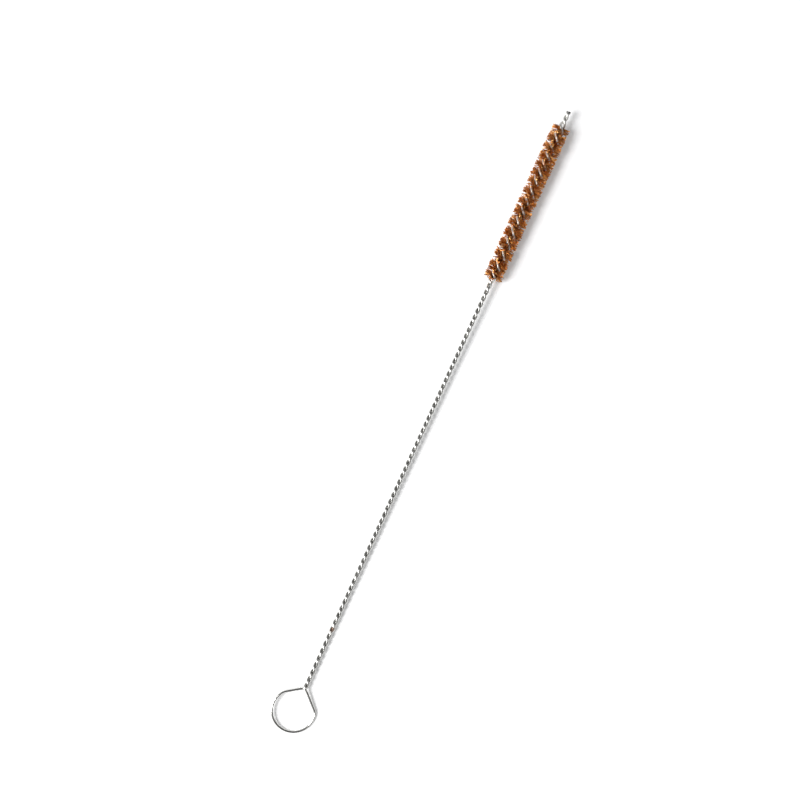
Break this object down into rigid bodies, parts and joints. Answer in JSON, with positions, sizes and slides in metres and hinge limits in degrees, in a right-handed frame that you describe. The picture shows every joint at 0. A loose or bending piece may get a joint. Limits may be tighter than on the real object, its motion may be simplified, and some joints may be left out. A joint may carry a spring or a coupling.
{
  "type": "wire brush",
  "caption": "Slim twisted-wire cleaning brush with short brass filaments along one end and a hanging ring folded in the other.",
  "frame": {"origin": "centre of the hanging ring, in the ring's plane", "axes": "+X from the ring along the stem to the brush's tip; +Z square to the ring; +Y across the ring"},
  "size_m": [0.21, 0.014, 0.006],
  "materials": {
    "steel_wire": "bright drawn steel wire with fine lengthwise drawing marks",
    "brass_filament": "fine drawn brass, slightly tarnished, cut ends"
  },
  "bodies": {
    "root": {"core_wire": "steel_wire", "bristle_row_01": "brass_filament", "bristle_row_02": "brass_filament", "bristle_row_03": "brass_filament", "bristle_row_04": "brass_filament", "bristle_row_05": "brass_filament", "bristle_row_06": "brass_filament", "bristle_row_07": "brass_filament", "bristle_row_08": "brass_filament", "bristle_row_09": "brass_filament", "bristle_row_10": "brass_filament", "bristle_row_11": "brass_filament", "bristle_row_12": "brass_filament", "bristle_row_13": "brass_filament", "bristle_row_14": "brass_filament", "bristle_row_15": "brass_filament", "bristle_row_16": "brass_filament", "bristle_row_17": "brass_filament", "bristle_row_18": "brass_filament", "bristle_row_19": "brass_filament", "bristle_row_20": "brass_filament", "bristle_row_21": "brass_filament", "bristle_row_22": "brass_filament", "bristle_row_23": "brass_filament", "bristle_row_24": "brass_filament", "bristle_row_25": "brass_filament", "bristle_row_26": "brass_filament", "bristle_row_27": "brass_filament", "bristle_row_28": "brass_filament", "bristle_row_29": "brass_filament", "bristle_row_30": "brass_filament", "bristle_row_31": "brass_filament", "bristle_row_32": "brass_filament"}
  },
  "joints": []
}
